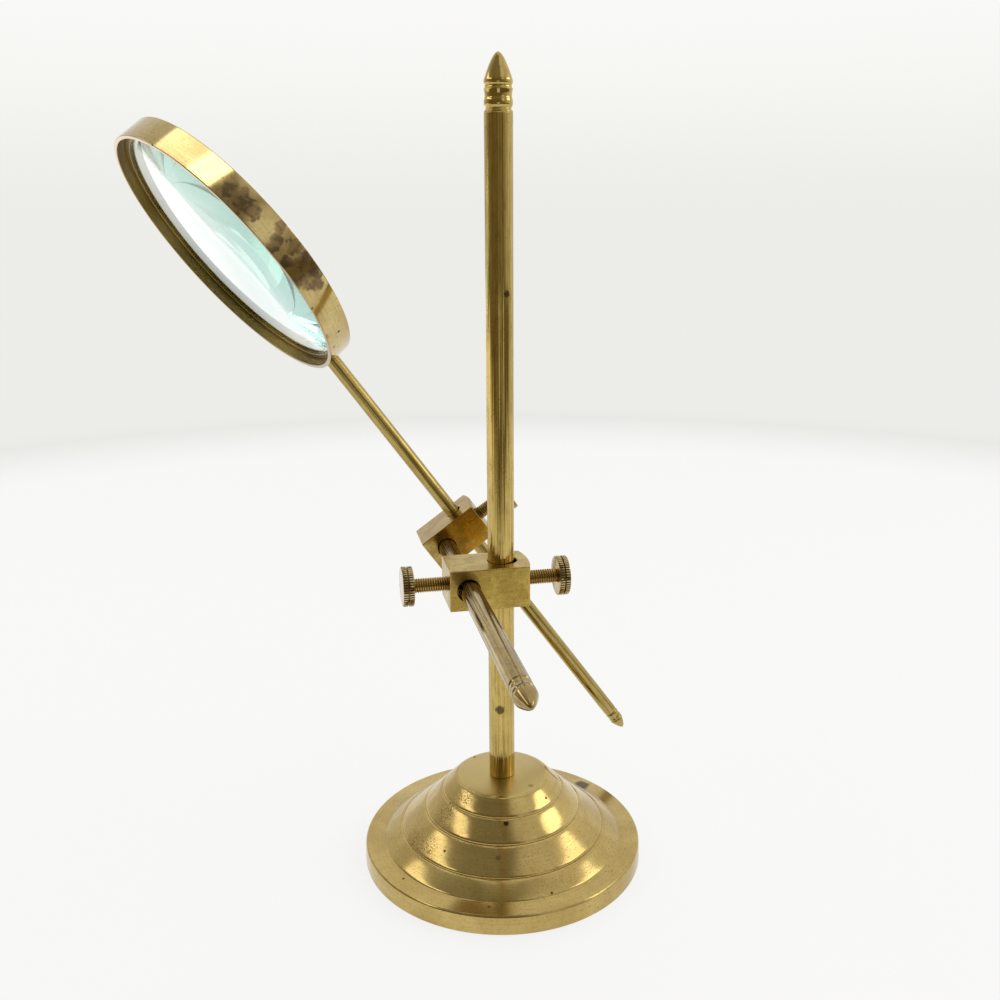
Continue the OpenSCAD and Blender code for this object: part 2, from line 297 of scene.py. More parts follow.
class Finish:
    # the nodes of one material, or of the world
    def __init__(self, owner):
        self.owner = owner
        owner.use_nodes = True
        self.tree = owner.node_tree
        self.tree.nodes.clear()

    def node(self, kind, settings, inputs, output=0):
        made = self.tree.nodes.new(kind)
        for name, value in settings.items():
            setattr(made, name, value)
        for key, value in inputs.items() if isinstance(inputs, dict) else enumerate(inputs):
            if isinstance(value, Wire):
                self.tree.links.new(value.socket, made.inputs[key])
            else:
                made.inputs[key].default_value = value
        return Wire(self, made.outputs[output]) if made.outputs else made

    def place(self, seed=0):
        # the piece's own coordinates in mm
        own = self.node("ShaderNodeTexCoord", {}, {}, "Object")
        scaled = self.vector("SCALE", own, scale=1 / mm)
        return self.vector("ADD", scaled, (seed, seed, seed)) if seed else scaled

    def vector(self, operation, first, second=None, scale=None, output="Vector"):
        inputs = {0: first}
        if second is not None:
            inputs[1] = second
        if scale is not None:
            inputs["Scale"] = scale
        return self.node("ShaderNodeVectorMath", {"operation": operation}, inputs, output)

    def measure(self, operation, first, second=None):
        # a vector operation that gives a number
        return self.vector(operation, first, second, output="Value")

    def far(self, at, point):
        return self.measure("DISTANCE", at, tuple(point))

    def parts(self, vector):
        split = self.node("ShaderNodeSeparateXYZ", {}, [vector])
        return [Wire(self, socket) for socket in split.socket.node.outputs]

    def joined(self, x, y, z):
        return self.node("ShaderNodeCombineXYZ", {}, [x, y, z])

    def rays(self, *kinds):
        path = self.node("ShaderNodeLightPath", {}, {})
        return [Wire(self, path.socket.node.outputs["Is " + kind + " Ray"]) for kind in kinds]

    def noise(self, at, size, detail=4, rough=0.55, twist=0):
        # size is the width of a patch in mm
        inputs = {"Vector": at, "Scale": 1 / size, "Detail": detail}
        inputs.update({"Roughness": rough, "Distortion": twist})
        return self.node("ShaderNodeTexNoise", {}, inputs)

    def cells(self, at, size):
        return self.node("ShaderNodeTexVoronoi", {}, {"Vector": at, "Scale": 1 / size})

    def smooth(self, value, low, high):
        # 0 below low, 1 above high
        return self.node("ShaderNodeMapRange", {"interpolation_type": "SMOOTHSTEP"}, [value, low, high])

    def most(self, first, second):
        return self.node("ShaderNodeMath", {"operation": "MAXIMUM"}, [first, second])

    def mix(self, factor, first, second):
        # the node's colours are its inputs 6 and 7 and its output 2
        solid = [tuple(c) + (1,) if isinstance(c, tuple) else c for c in (first, second)]
        return self.node("ShaderNodeMix", {"data_type": "RGBA"}, {0: factor, 6: solid[0], 7: solid[1]}, 2)

    def bump(self, height, depth):
        # a height of 1 stands out by depth, in mm
        return self.node("ShaderNodeBump", {}, {"Distance": depth * mm, "Height": height})

    def lay(self, skin, mask, tone, share=1, dull=0, deep=0):
        # lays a mark over a skin's colour, roughness and height in mm
        colour, rough, height = skin
        if deep:
            height = height - mask * deep
        return self.mix(mask * share, colour, tone), rough + mask * dull, height

    def surface(self, settings, inside=None):
        sockets = {"Surface": self.node("ShaderNodeBsdfPrincipled", {}, settings)}
        if inside:
            sockets["Volume"] = inside
        self.node("ShaderNodeOutputMaterial", {}, sockets)
        return self.owner


def newFinish(name):
    return Finish(bpy.data.materials.new(name))


def coat(mesh, material):
    mesh.materials.clear()
    mesh.materials.append(material)


def dress(piece, material, body, stand):
    # gives a piece its finish and its place in the frame, where it stands for a node
    coat(piece.data, material)
    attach(piece, body)
    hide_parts(stand)


# Base, with its felt
baseLook = {
    "rimHeight": 6.1,
    "chamfer": 0.4,          # at the rim's foot
    "taper": 0.2,            # how far the rim leans in
    "edge": 0.65,            # width of the rim's rounded top edge
    "edgeHeight": 0.5,
    "rounds": (0.2, 0.6, 0.25),    # of the rim's corners, from its foot up
    "ledgeRise": 0.3,
    "cone": 37,              # radius where the bands start
    "grooves": ((31.4, 10.35), (24.1, 16.4), (18.7, 22.0)),    # radius and height
    "grooveWidth": 0.6,
    "grooveDepth": 0.35,
    "bulge": 0.05,           # of the bands between the grooves
    "bandDrop": 0.12,        # how far their ends are rounded down
    "bandEnds": (1, 1.4, 1.9, 2.5, 3.2),    # points of a rounded end, in half grooves
    "bandMiddle": (0.3, 0.5, 0.7),          # and between the ends, in shares of the band
    "top": 14.1,
    "topEase": (0.2, 0.05),  # width and height of the edge of the top face
    "pocket": (7.5, 9),      # radius and depth
    "studHole": 2.55,
    "felt": (38.7, 1),       # radius and depth of its recess
    "sides": 256,
}


def bandBetween(first, second, look):
    # the slope between two grooves, a little bulged, its ends rounded into the grooves
    run = second - first
    outward = Vector((run.y, -run.x)).normalized()
    lip = look["grooveWidth"] / 2 / run.length
    ends = [lip * share for share in look["bandEnds"]]
    line = []
    for s in (*ends, *look["bandMiddle"], *(1 - end for end in reversed(ends))):
        inEnd = max(0, 1 - (min(s, 1 - s) - lip) / (ends[-1] - lip))
        rise = 4 * look["bulge"] * s * (1 - s) - look["bandDrop"] * inEnd ** 2
        line.append(tuple(first + run * s + outward * rise))
    return line


def makeBase(look):
    high = corners("base", standPlace)[1]
    radius, height = high.x, high.z
    footRound, edgeRound, ledgeRound = look["rounds"]
    easeWidth, easeHeight = look["topEase"]
    foot = Vector((look["cone"], look["rimHeight"] + look["ledgeRise"]))
    stops = [foot] + [Vector(g) for g in look["grooves"]] + [Vector((look["top"], height))]
    root = Vector((-1, -1)).normalized() * look["grooveDepth"]
    outline = [(look["studHole"], look["pocket"][1]), look["pocket"]]
    outline += [(look["pocket"][0], look["felt"][1]), look["felt"], (look["felt"][0], 0)]
    outline += [(radius - look["chamfer"], 0), (radius, look["chamfer"], footRound)]
    outline += [(radius - look["taper"], look["rimHeight"] - look["edgeHeight"], edgeRound)]
    outline += [(radius - look["edge"], look["rimHeight"], ledgeRound), tuple(foot)]
    for first, second in zip(stops, stops[1:]):
        outline += bandBetween(first, second, look)
        outline.append(tuple(second + root))
    face = look["top"] - look["grooveWidth"]
    outline += [(face, height - easeHeight), (face - easeWidth, height), (look["studHole"], height)]
    return lathe("base_body", rounded(outline), standPlace, look["sides"], closed=True)


feltLook = {
    "waves": 12,             # of its underside, from the middle to the edge
    "waveHeight": 0.02,
    "edge": 0.3,
    "sides": 128,
    "fibre": 0.35,           # widths of the fibres and of the worn patches
    "patch": 6,
    "dark": (0.012, 0.035, 0.018),
    "pale": (0.045, 0.10, 0.055),
    "fibreShare": 0.6,       # of the fibres in the colour, against the patches
    "rough": 0.95,
    "pile": 0.15,
}


def makeFelt(look):
    radius, thick = corners("base_felt", standPlace)[1].x, baseLook["felt"][1]
    outline = [(0, 0)]
    for k in range(1, look["waves"]):
        outline.append((radius * k / look["waves"], look["waveHeight"] if k % 2 else 0))
    outline += [(radius, 0, look["edge"]), (radius, thick, look["edge"]), (0, thick)]
    return lathe("felt_pad", rounded(outline), standPlace, look["sides"])


def feltFinish(look):
    f = newFinish("felt")
    at = f.place()
    fibres = f.noise(at, look["fibre"], detail=5, rough=0.7)
    patches = f.noise(at, look["patch"], detail=3)
    blend = fibres * look["fibreShare"] + patches * (1 - look["fibreShare"])
    colour = f.mix(blend, look["dark"], look["pale"])
    normal = f.bump(fibres, look["pile"])
    return f.surface({"Base Color": colour, "Roughness": look["rough"], "Normal": normal})


# Rods, each with its turned finial
rodLook = {
    "ogive": 1.84,           # length of the pointed tip, in radii
    "power": 0.6,            # how blunt the tip is
    # beads and grooves below the tip: distance and radius, in radii
    "turning": ((1.84, 1.0), (2.03, 0.985), (2.17, 0.92), (2.31, 0.945), (2.38, 1.0), (2.45, 0.985),
                (2.70, 0.94), (2.92, 0.94), (3.08, 0.985), (3.26, 1.0), (3.44, 0.975), (3.60, 0.885),
                (3.71, 0.92), (3.79, 0.99), (3.86, 1.0)),
    "chamfer": 0.25,         # of a plain end
    "shoulder": 0.15,        # rounding above a tenon
    "postTenon": (2.5, 0.05),     # radius, and what its shoulder stands clear of the base
    "lensTenon": (1.2, 0.25),     # radius, and what its shoulder stands clear of the rim
    "sides": 96,
}


def finial(radius, look):
    # outline from the tip down to the plain rod, the tip at height 0
    steps = 16
    shares = [(k / steps * look["ogive"], (k / steps) ** look["power"]) for k in range(steps)]
    shares += curved(list(look["turning"]))
    return [(r * radius, -s * radius) for s, r in shares]


def finialStart(node, place, look):
    # height where the plain rod ends
    low, high = corners(node, place)
    return high.z - look["turning"][-1][0] * (high.x - low.x) / 2


def makeRod(name, node, place, look, tenon=None):
    # the tip points along the place's Z, and a tenon has a radius and the height of its shoulder
    low, high = corners(node, place)
    radius = (high.x - low.x) / 2
    line = [(r, z + high.z) for r, z in finial(radius, look)]
    if tenon:
        thin, shoulder = tenon
        line += [(radius, shoulder, look["shoulder"]), (thin, shoulder), (thin, low.z)]
    else:
        line.append((radius, low.z, look["chamfer"]))
    return lathe(name, rounded([*line, (0, low.z)]), place, look["sides"])


# Clamps
clampLook = {
    "bevel": 0.3,
    "crown": 1.1,            # how far the rounded end stands out
    "corner": 0.6,           # an edge that turns more than this, in radians, is bevelled
    "mouth": 0.18,           # chamfer of the holes
    "postSlack": 0.45,       # what each hole is wider than its rod, as a radius
    "crossSlack": 0.35,
    "rodSlack": 0.3,
    "seat": 0.08,            # gap on the side that the screw presses the rod to
    "running": 0.05,         # gap round the screws and the fixed end of the cross rod
}


def makeBar(name, node, place, look):
    # a bar with one gently rounded end, all edges eased
    low, high = corners(node, place)
    half = high.y
    bend = (half ** 2 + look["crown"] ** 2) / (2 * look["crown"])
    sweep = math.asin(half / bend)
    steps = 16
    side = [(low.x, half), (low.x, -half)]
    for k in range(steps + 1):
        turn = sweep * (2 * k / steps - 1)
        side.append((high.x - bend * (1 - math.cos(turn)), bend * math.sin(turn)))
    count = len(side)
    points = [(x, y, z) for z in (low.z, high.z) for x, y in side]
    faces = [list(range(count)), list(range(count, 2 * count))]
    faces += [(k, (k + 1) % count, (k + 1) % count + count, k + count) for k in range(count)]
    bar = pieceFrom(name, points, faces, place)
    shape = bmesh.new()
    shape.from_mesh(bar.data)
    edges = [e for e in shape.edges if e.calc_face_angle(0) > look["corner"]]
    width = look["bevel"] * mm
    bmesh.ops.bevel(shape, geom=edges, offset=width, segments=3, profile=0.5, affect="EDGES")
    shape.to_mesh(bar.data)
    shape.free()
    return bar


def screwPlace(name):
    # Z runs out along the screw, and X is turned by a line that no screw runs along
    return axes(spot(name + "_turn"), along(name + "_turn"), Vector((0.1, 0.2, 1)))


def screwHole(bar, name, depth, look):
    radius = corners("post_screw_stud", clampPlace)[1].z + look["running"]
    drill(bar, screwPlace(name), radius, 0, depth, (0, look["mouth"]))


def makePostClamp(look):
    bar = makeBar("post_clamp_block", "post_clamp", clampPlace, look)
    low, high = corners("post_clamp", clampPlace)
    through = (look["mouth"], look["mouth"])
    # the holes lie off to one side, so that each rod is close to the wall opposite its screw
    postHole = corners("post", standPlace)[1].x + look["postSlack"]
    drill(bar, moved(clampPlace, look["postSlack"] - look["seat"]), postHole, low.z, high.z, through)
    rodHole = corners("cross_rod", crossPlace)[1].x + look["crossSlack"]
    aside = clampPlace.to_3x3() @ Vector((look["seat"] - look["crossSlack"], 0, 0)) * mm
    drill(bar, Matrix.Translation(aside) @ crossPlace, rodHole, low.y, high.y, through)
    screwHole(bar, "post_screw", high.x, look)
    screwHole(bar, "rod_screw", -low.x - between("rod_screw_turn", "post_screw_turn"), look)
    flatten(bar)
    return bar


def makeHeadClamp(look):
    bar = makeBar("head_clamp_block", "head_clamp", headPlace, look)
    low, high = corners("head_clamp", headPlace)
    through = (look["mouth"], look["mouth"])
    crossHole = corners("cross_rod", crossPlace)[1].x + look["running"]
    drill(bar, headCrossPlace, crossHole, low.y, high.y, through)
    rodHole = corners("lens_rod", rodPlace)[1].x + look["rodSlack"]
    drill(bar, moved(rodPlace, look["rodSlack"] - look["seat"]), rodHole, low.z, high.z, through)
    screwHole(bar, "head_screw", high.x - between("head_screw_turn", "lens_arm_tilt"), look)
    flatten(bar)
    return bar


# Thumbscrews
screwLook = {
    "pitch": 0.7,
    "depth": 0.32,
    "crest": 0.15,           # share of a turn
    "flank": 0.35,
    "runOut": 0.5,           # what the thread takes to rise at each end
    "sides": 40,
    "rows": 20,              # of points in one turn of the thread
    "spigot": (1.73, 2.2),   # radius and length
    "fit": 0.05,             # gap round the spigot, and between the knob and the thread
    "ribs": 48,
    "ribSides": 12,
    "ribDepth": 0.4,
    "tooth": 0.5,            # share of a rib that stands at full height
    "grooveWidth": 0.4,
    "grooveDepth": 0.6,
    "grooveCurve": 0.02,
    "chamfer": (0.45, 0.27), # width and height, at the edges of the knob
    "ease": 0.07,
    "dish": (0.02, 0.03),    # hollow of the outer face, halfway in and in the middle
}


def makeStud(name, node, place, seat, look):
    # a threaded rod, its ridge a true helix, with a plain spigot for the knob
    low, high = corners(node, place)
    sides, length = look["sides"], seat - low.z
    count = int(length / look["pitch"] * look["rows"])
    rows = []
    for k in range(count + 1):
        z = low.z + length * k / count
        ends = min(1, (z - low.z) / look["runOut"], max(0, (seat - z) / look["runOut"]))
        radii = []
        for j in range(sides):
            fromCrest = abs((z / look["pitch"] - j / sides) % 1 - 0.5) - look["crest"] / 2
            ridge = min(1, max(0, 1 - fromCrest / look["flank"])) * ends
            radii.append(high.x - look["depth"] * (1 - ridge))
        rows.append((z, radii))
    radius, reach = look["spigot"]
    rows += [(z, [radius] * sides) for z in (seat, seat + reach)]
    points, faces = [], []
    for k, (z, radii) in enumerate(rows):
        for j, r in enumerate(radii):
            angle = 2 * math.pi * j / sides
            points.append((r * math.cos(angle), r * math.sin(angle), z))
            a, b = k * sides + j, k * sides + (j + 1) % sides
            if k < len(rows) - 1:
                faces.append((a, b, b + sides, a + sides))
    faces.append(list(range(sides)))
    faces.append(list(range(len(points) - sides, len(points))))
    return pieceFrom(name, points, faces, place, sharp=60)


def makeKnob(name, node, place, look):
    # two bands of ribs with a groove between them, the inner face at height 0
    low, high = corners(node, place)
    radius, thick = high.x, high.z - low.z
    band = (thick - look["grooveWidth"]) / 2
    hole, deep = (size + look["fit"] for size in look["spigot"])
    inner, ease = radius - look["grooveDepth"], look["ease"]
    halfway, middle = look["dish"]
    chamferWidth, chamferHeight = look["chamfer"]

    def ribs(share):
        # how far out the knob reaches at a share of a turn
        inRib = share * look["ribs"] % 1
        slope = (1 - look["tooth"]) / 3      # on each side of a slot, a third of it
        slot = min(inRib - look["tooth"], 1 - inRib) / slope
        return radius - look["ribDepth"] * min(1, max(0, slot))

    half = [(radius - chamferWidth, 0), (radius - ease * 2, ease), (radius, chamferHeight)]
    half += [(radius, band - ease), (radius - ease, band), (inner, band + look["grooveCurve"])]
    outline = [(0, deep), (hole, deep), (hole, 0), *half]
    outline += [(r, thick - z) for r, z in reversed(half)]
    outline += [(radius / 2, thick - halfway), (0, thick - middle)]
    return lathe(name, outline, moved(place, z=low.z), look["ribs"] * look["ribSides"], edge=ribs)


# Lens head
lensLook = {
    "wall": 1.2,             # rim outside the glass
    "ledge": 1.9,            # width of the ledge behind the glass
    "lip": 0.3,              # rounding of the rim's edges
    "lipSteps": 5,
    "sides": 320,            # of the rim and the ring
    "glassSides": 256,
    "ledgeRounds": (0.25, 0.2),    # of the ledge, at its back and front
    "tenonHole": 1.25,
    "ringGap": 0.05,         # what the ring's bore is wider than the ledge's
    "ringRounds": (0.15, 0.35),    # of the ring's front, outside and inside
    "glassBack": -2.4,       # height of the ledge, with the glass's front edge at 0
    "glassEdge": 0.3,
    "rise": 3.2,             # bulge of each face
    "tint": (0.95, 0.985, 0.975, 1),
    "inside": (0, 0.57, 0.43, 1),  # the glass swallows red most, so thick glass is green
    "density": 12,
    "index": 1.52,
    "smear": 14,             # width of a dull smear
    "smearEdge": (0.55, 0.8),
    "smearRough": 0.03,
}


def makeRim(look):
    high = corners("lens_rim", lensPlace)[1]
    radius, half, lip = high.y, high.z, look["lip"]
    bore = radius - look["wall"]
    ledge = bore - look["ledge"]
    atBack, atFront = look["ledgeRounds"]
    outline = [(ledge, -half, atBack), (radius, -half, lip), (radius, half, lip)]
    outline += [(bore, half, lip), (bore, look["glassBack"]), (ledge, look["glassBack"], atFront)]
    outline = rounded(outline, look["lipSteps"])
    rim = lathe("lens_rim_band", outline, lensPlace, look["sides"], closed=True)
    hole = axes(spot("lens_turn"), along("lens_turn"), along("head_screw_turn"))
    clear = 1           # the hole runs this far past both faces
    drill(rim, hole, look["tenonHole"], -clear, look["wall"] + clear)
    soften(rim.data)
    return rim


def makeRetainingRing(look):
    low, high = corners("retaining_ring", lensPlace)
    inner = high.y - look["ledge"] + look["ringGap"]
    outside, inside = look["ringRounds"]
    outline = [(inner, low.z), (high.y, low.z), (high.y, high.z, outside), (inner, high.z, inside)]
    return lathe("retaining_ring_turned", rounded(outline), lensPlace, look["sides"], closed=True)


def makeLens(look):
    # two round faces, with a plain edge between the ring and the ledge
    edge = corners("lens", lensPlace)[1].y
    ring = corners("retaining_ring", lensPlace)[1].y - look["ledge"]
    back, rise, ease = look["glassBack"], look["rise"], look["glassEdge"]
    sphere = (ring ** 2 + rise ** 2) / (2 * rise)
    steps = 28
    line = []
    for k in range(steps + 1):
        r = ring * k / steps
        line.append((r, rise - sphere + math.sqrt(sphere ** 2 - r ** 2)))
    under = [(r, back - z) for r, z in reversed(line)]
    outline = line + [(edge, 0, ease), (edge, back, ease)] + under
    return lathe("lens_glass", rounded(outline), lensPlace, look["glassSides"])


def glassFinish(look):
    f = newFinish("lensGlass")
    smear = f.noise(f.place(), look["smear"], detail=3, rough=0.5, twist=1.2)
    smear = f.smooth(smear, *look["smearEdge"])
    settings = {"Base Color": look["tint"], "Roughness": smear * look["smearRough"]}
    settings.update({"IOR": look["index"], "Transmission Weight": 1.0})
    inside = {"Color": look["inside"], "Density": look["density"]}
    return f.surface(settings, f.node("ShaderNodeVolumeAbsorption", {}, inside))


# All the pieces
print("frame read")
stand = makeBase(baseLook)
felt = makeFelt(feltLook)
postTenon, clearOfBase = rodLook["postTenon"]
postShoulder = corners("base", standPlace)[1].z + clearOfBase
post = makeRod("post_rod", "post", standPlace, rodLook, (postTenon, postShoulder))
crossRod = makeRod("cross_rod_turned", "cross_rod", crossPlace, rodLook)
lowerTip = rodPlace @ Matrix.Rotation(math.pi, 4, "X")
lensTenon, clearOfRim = rodLook["lensTenon"]
lensShoulder = clearOfRim - between("lens_turn", "head_screw_turn")
lensRod = makeRod("lens_rod_turned", "lens_rod", lowerTip, rodLook, (lensTenon, lensShoulder))
print("base and rods made")

postClamp = makePostClamp(clampLook)
headClamp = makeHeadClamp(clampLook)
print("clamps made")

studs, knobs = {}, {}
for screw in ("post_screw", "rod_screw", "head_screw"):
    place = screwPlace(screw)
    seat = corners(screw + "_knob", place)[0].z - screwLook["fit"]
    studs[screw] = makeStud(screw + "_thread", screw + "_stud", place, seat, screwLook)
    knobs[screw] = makeKnob(screw + "_ribbed_knob", screw + "_knob", place, screwLook)
print("screws made")

rim = makeRim(lensLook)
ring = makeRetainingRing(lensLook)
glass = makeLens(lensLook)
print("lens head made")


# Brass
brassLook = {
    # the bare metal, and what is laid over it
    "bright": (0.60, 0.45, 0.165),
    "aged": (0.43, 0.30, 0.10),
    "dark": (0.26, 0.17, 0.05),
    "eaten": (0.22, 0.13, 0.04),
    "pit": (0.10, 0.055, 0.02),
    "stain": (0.14, 0.09, 0.055),
    "stainPale": (0.32, 0.22, 0.09),
    # painted shade, with some dirt, in the hollows of ribs, threads and bores
    "hollowShadeAndDirt": (0.12, 0.07, 0.02),
    "capTone": (0.62, 0.50, 0.38),
    "mark": (0.07, 0.04, 0.018),
    # how much of each
    "ageing": 0.8,
    "streaks": 0.4,          # share of the grain in the ageing
    "mottling": 0.5,
    "pits": 0.7,
    "stained": 0.85,
    # widths
    "patch": 7,
    "speck": 0.8,
    "speckRun": 0.15,        # how far the specks are drawn out along Z
    "pitField": 1.7,         # where pits are thick, in patches
    "pitSize": 0.7,
    "pitGroup": 2.5,         # in pits
    "eatenSize": 0.5,
    "raggedSize": 4,         # of the edge of a stain
    "stainPatch": 2.2,
    # from the edge of each to its full strength
    "agedEdge": (0.38, 0.60),
    "mottledEdge": (0.48, 0.70),
    "fieldEdge": (0.46, 0.62),
    "pitEdge": (0.10, 0.30),
    "groupEdge": (0.42, 0.58),
    "eatenEdge": (0.51, 0.58),
    "stainedEdge": (0.16, 0.52),
    "stainPatchEdge": (0.40, 0.60),
    "seed": 0,               # moves the patterns, so that no two pieces match
    # grain, with heights in mm
    "grain": "drawn",
    "grainSize": 0.5,
    "grainRough": 0.08,
    "grainDepth": 0.003,
    "rough": 0.10,
    # straight draw lines: waves, and dull scratches
    "flutes": 0,             # height
    "fluteSize": 0.6,
    "fluteRun": 0.0015,
    "lines": 0.3,
    "lineSize": 0.45,
    "lineRun": 0.003,
    "lineEdge": (0.50, 0.60),
    # places on one piece
    "finial": 1000,          # height where a rod's finial starts
    "finialFade": 0.3,
    "cap": 0,                # height of a face that has aged otherwise
    "capRough": 0,
    "shadedHollows": (),           # radii where the painted shade and dirt in ribs or a thread thins out, then heights
    "fade": 0.2,             # what the edges of caps and shaded hollows take
    "pitted": (),            # in the picture: across, down and size
    "pittedEdge": (0, 0.7),
    "stains": (),            # the same
    "ragged": 2.4,           # how far the edge of a stain strays
    "raggedEdge": (0, 0.3),
    "marks": (),             # across, down, size and strength
    "markEdge": (0.6, 1.05),
    "markRagged": (0.7, 0.9),      # width and strength of its ragged edge, in mark sizes
}
# How far each way of working the metal draws its grain out, in X, Y and Z
grains = {"drawn": (1, 1, 0.012), "milled": (0.05, 1, 1)}


def brass(name, look, piece=None):
    # aged brass: mottled colour, grain, brown pits and the marks of one piece
    f = newFinish(name)
    at = f.place(look["seed"])
    plain = f.place()
    x, y, z = f.parts(plain)
    radius = f.measure("LENGTH", f.joined(x, y, 0))

    def drawnOut(run):
        return f.vector("MULTIPLY", at, (1, 1, run))

    if look["grain"] == "turned":
        grain = f.noise(f.joined(radius, z, 0), look["grainSize"], detail=3, rough=0.6)
    else:
        run = f.vector("MULTIPLY", at, grains[look["grain"]])
        grain = f.noise(run, look["grainSize"], detail=4, rough=0.6)
    # the drawing of a rod stops at its turned finial
    shank = 1 - f.smooth(z, look["finial"] - look["finialFade"], look["finial"])
    grain = (grain - 0.5) * shank + 0.5
    rough = look["rough"] + (grain - 0.5) * look["grainRough"]
    height = grain * look["grainDepth"]
    if look["flutes"]:
        waves = f.noise(drawnOut(look["fluteRun"]), look["fluteSize"], detail=3)
        height = height + waves * shank * look["flutes"]
        lines = f.noise(drawnOut(look["lineRun"]), look["lineSize"], detail=3, rough=0.6)
        rough = rough + f.smooth(lines, *look["lineEdge"]) * shank * look["lines"]
    skin = look["bright"], rough, height

    patches = f.noise(at, look["patch"], detail=5, rough=0.6, twist=0.4)
    blend = patches * (1 - look["streaks"]) + grain * look["streaks"]
    aged = f.smooth(blend, *look["agedEdge"]) * look["ageing"]
    skin = f.lay(skin, aged, look["aged"], dull=0.04)
    specks = f.noise(drawnOut(look["speckRun"]), look["speck"], detail=3, rough=0.65)
    mottled = f.smooth(specks, *look["mottledEdge"]) * look["mottling"]
    skin = f.lay(skin, mottled, look["dark"], dull=0.06, deep=0.002)

    # brown pits, thick in some places and rare in others
    where = f.noise(at, look["patch"] * look["pitField"], detail=2)
    where = f.smooth(where, *look["fieldEdge"])
    for point, size in placed(piece, look["pitted"]):
        near = f.smooth(1 - f.far(plain, point) * (1 / size), *look["pittedEdge"])
        where = f.most(where, near)
        eaten = f.noise(at, look["eatenSize"], detail=4, rough=0.7)
        eaten = f.smooth(eaten, *look["eatenEdge"]) * near
        skin = f.lay(skin, eaten, look["eaten"], share=0.75, dull=0.2, deep=0.008)
    pits = (1 - f.smooth(f.cells(at, look["pitSize"]), *look["pitEdge"])) * where * look["pits"]
    groups = f.noise(at, look["pitSize"] * look["pitGroup"], detail=2)
    pits = pits * f.smooth(groups, *look["groupEdge"])
    skin = f.lay(skin, pits, look["pit"], dull=0.2, deep=0.012)

    if look["stains"]:
        # tarnish in two tones, with a ragged edge
        reach = 0
        for point, size in placed(piece, look["stains"]):
            reach = f.most(1 - f.far(plain, point) * (1 / size), reach)
        ragged = f.noise(at, look["raggedSize"], detail=3, rough=0.5, twist=1.2) - 0.5
        ragged = ragged * look["ragged"] * f.smooth(reach, *look["raggedEdge"])
        stained = f.smooth(reach + ragged, *look["stainedEdge"])
        tones = f.smooth(f.noise(at, look["stainPatch"], detail=3), *look["stainPatchEdge"])
        tarnish = f.mix(tones, look["stain"], look["stainPale"])
        skin = f.lay(skin, stained, tarnish, share=look["stained"], dull=0.08)
    # painted shade, with some dirt, darkens the hollows: below a radius, and between two heights if given
    if look["shadedHollows"]:
        inner, outer, *heights = look["shadedHollows"]
        shadeAndDirt = 1 - f.smooth(radius, inner, outer)
        if heights:
            shadeAndDirt = shadeAndDirt * f.smooth(z, heights[0], heights[0] + look["fade"])
            shadeAndDirt = shadeAndDirt * (1 - f.smooth(z, heights[1] - look["fade"], heights[1]))
        skin = f.lay(skin, shadeAndDirt, look["hollowShadeAndDirt"], share=0.85, dull=0.2)
    if look["cap"]:
        cap = f.smooth(z, look["cap"] - look["fade"], look["cap"])
        skin = f.lay(skin, cap, look["capTone"], share=0.8, dull=look["capRough"])
    for point, size, strength in placed(piece, look["marks"]):
        width, spread = (size * share for share in look["markRagged"])
        edge = f.far(plain, point) + (f.noise(at, width, detail=3) - 0.5) * spread
        mark = 1 - f.smooth(edge, *(size * share for share in look["markEdge"]))
        skin = f.lay(skin, mark * strength, look["mark"], dull=0.15)
    colour, rough, height = skin
    normal = f.bump(height, 1)
    return f.surface({"Base Color": colour, "Metallic": 1, "Roughness": rough, "Normal": normal})


# Each piece of brass, with its own marks
turned = {**brassLook, "grain": "turned", "grainSize": 0.18, "speckRun": 1}
drawn = {**brassLook, "flutes": 0.07, "streaks": 0.65, "rough": 0.07, "mottling": 0.4}

baseBrass = {
    **turned, "patch": 16, "rough": 0.14, "mottling": 0.3, "pits": 0.8,
    "cap": 26.48, "capTone": (0.56, 0.43, 0.17), "capRough": 0.16,
    "pitted": ((466, 795, 5), (445, 815, 5), (424, 846, 6), (415, 838, 5), (452, 806, 4)),
    "marks": ((506.2, 823.7, 0.9, 1), (498, 858, 0.9, 0.5), (444.6, 851, 0.5, 0.9),
              (474.5, 757, 0.5, 0.9), (546, 798, 0.5, 0.9), (403.6, 878.6, 0.5, 0.9),
              (489, 906.8, 0.6, 0.7), (551.8, 893, 0.5, 0.9), (530.7, 785.7, 1.0, 0.4),
              (582, 785, 3.0, 0.9)),
}
dress(stand, brass("baseBrass", baseBrass, stand), "base", "base")
dress(felt, feltFinish(feltLook), "base", "base_felt")

postBrass = {
    **drawn, "seed": 11, "finial": finialStart("post", standPlace, rodLook),
    "bright": (0.60, 0.45, 0.145), "aged": (0.45, 0.32, 0.09),
    "flutes": 0.3, "fluteSize": 1.1, "rough": 0.08,
    "marks": ((500, 710, 1.6, 0.85), (507, 294, 1.1, 0.9)),
}
dress(post, brass("postBrass", postBrass, post), "post", "post")

clampBrass = {
    **brassLook, "seed": 23, "grain": "milled", "grainDepth": 0.0015, "grainRough": 0.04,
    "bright": (0.57, 0.415, 0.105), "aged": (0.41, 0.275, 0.06), "ageing": 0.9, "streaks": 0.25,
    # the stains round the mouth of the cross rod's hole are partly painted shade of the hole, partly
    # tarnish
    "rough": 0.22, "speckRun": 1, "stains": ((460, 583, 5), (476, 579, 3)),
    "stain": (0.26, 0.16, 0.05), "stainPale": (0.36, 0.24, 0.07), "stained": 0.6,
}
clampFinish = brass("clampBrass", clampBrass, postClamp)
dress(postClamp, clampFinish, "post_clamp", "post_clamp")

